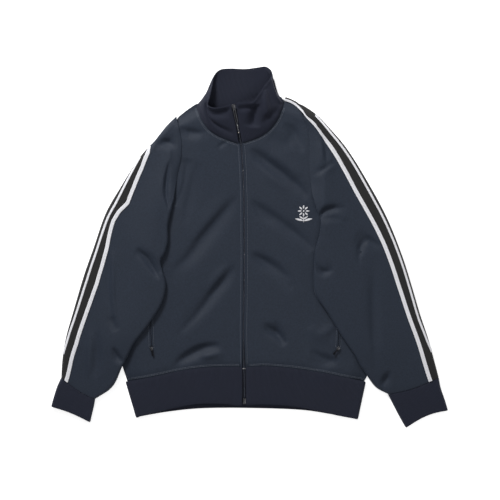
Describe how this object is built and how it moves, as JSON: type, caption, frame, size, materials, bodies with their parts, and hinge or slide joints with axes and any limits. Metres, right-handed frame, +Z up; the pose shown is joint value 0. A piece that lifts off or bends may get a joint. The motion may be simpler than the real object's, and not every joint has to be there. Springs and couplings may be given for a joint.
{
  "type": "track jacket",
  "caption": "Zip-up track jacket with a ribbed stand collar, hem and cuffs and striped sleeve tapes, zipped up and laid flat on its back.",
  "frame": {"origin": "middle of the underside of the jacket's bounding box, on the surface it lies on", "axes": "+X to the wearer's left, +Y towards the collar, +Z up out of the front"},
  "size_m": [0.8524, 0.767, 0.0348],
  "materials": {
    "navy_jersey": "smooth knit",
    "navy_rib": "knitted",
    "black_tape": "smooth knit",
    "white_braid": "knitted",
    "zip_cloth": "smooth knit",
    "zip_teeth": "satin",
    "zip_metal": "satin"
  },
  "bodies": {
    "jacket": {"back": "navy_jersey", "front_left": "navy_jersey", "front_right": "navy_jersey", "sleeve_left": "navy_jersey", "sleeve_right": "navy_jersey", "collar": "navy_rib", "hem_band": "navy_rib", "cuff_left": "navy_rib", "cuff_right": "navy_rib", "stripe_left": "black_tape", "stripe_right": "black_tape", "braid_inner_left": "white_braid", "braid_middle_left": "white_braid", "braid_inner_right": "white_braid", "braid_middle_right": "white_braid", "zip_tape_left": "zip_cloth", "zip_tape_right": "zip_cloth", "pocket_zip_left": "zip_cloth", "pocket_zip_right": "zip_cloth", "zip_chain": "zip_teeth", "zip_box": "zip_metal", "zip_slider": "zip_metal", "pocket_slider_left": "zip_metal", "pocket_slider_right": "zip_metal"},
    "zip_pull": {"zip_pull": "zip_metal"},
    "pocket_pull_left": {"pocket_pull_left": "zip_metal"},
    "pocket_pull_right": {"pocket_pull_right": "zip_metal"}
  },
  "joints": [
    {"name": "zip_pull_hinge", "type": "hinge", "parent": "jacket", "child": "zip_pull", "pos_m": [-0.03381, 0.29836, 0.03218], "axis": [-0.9795, -0.2016, 0], "range_deg": [0, 150]},
    {"name": "pocket_pull_left_hinge", "type": "hinge", "parent": "jacket", "child": "pocket_pull_left", "pos_m": [0.19, -0.2178, 0.0155], "axis": [-0.7828, 0.6222, 0], "range_deg": [0, 150]},
    {"name": "pocket_pull_right_hinge", "type": "hinge", "parent": "jacket", "child": "pocket_pull_right", "pos_m": [-0.21, -0.2178, 0.0155], "axis": [-0.9798, -0.2, 0], "range_deg": [0, 150]}
  ]
}
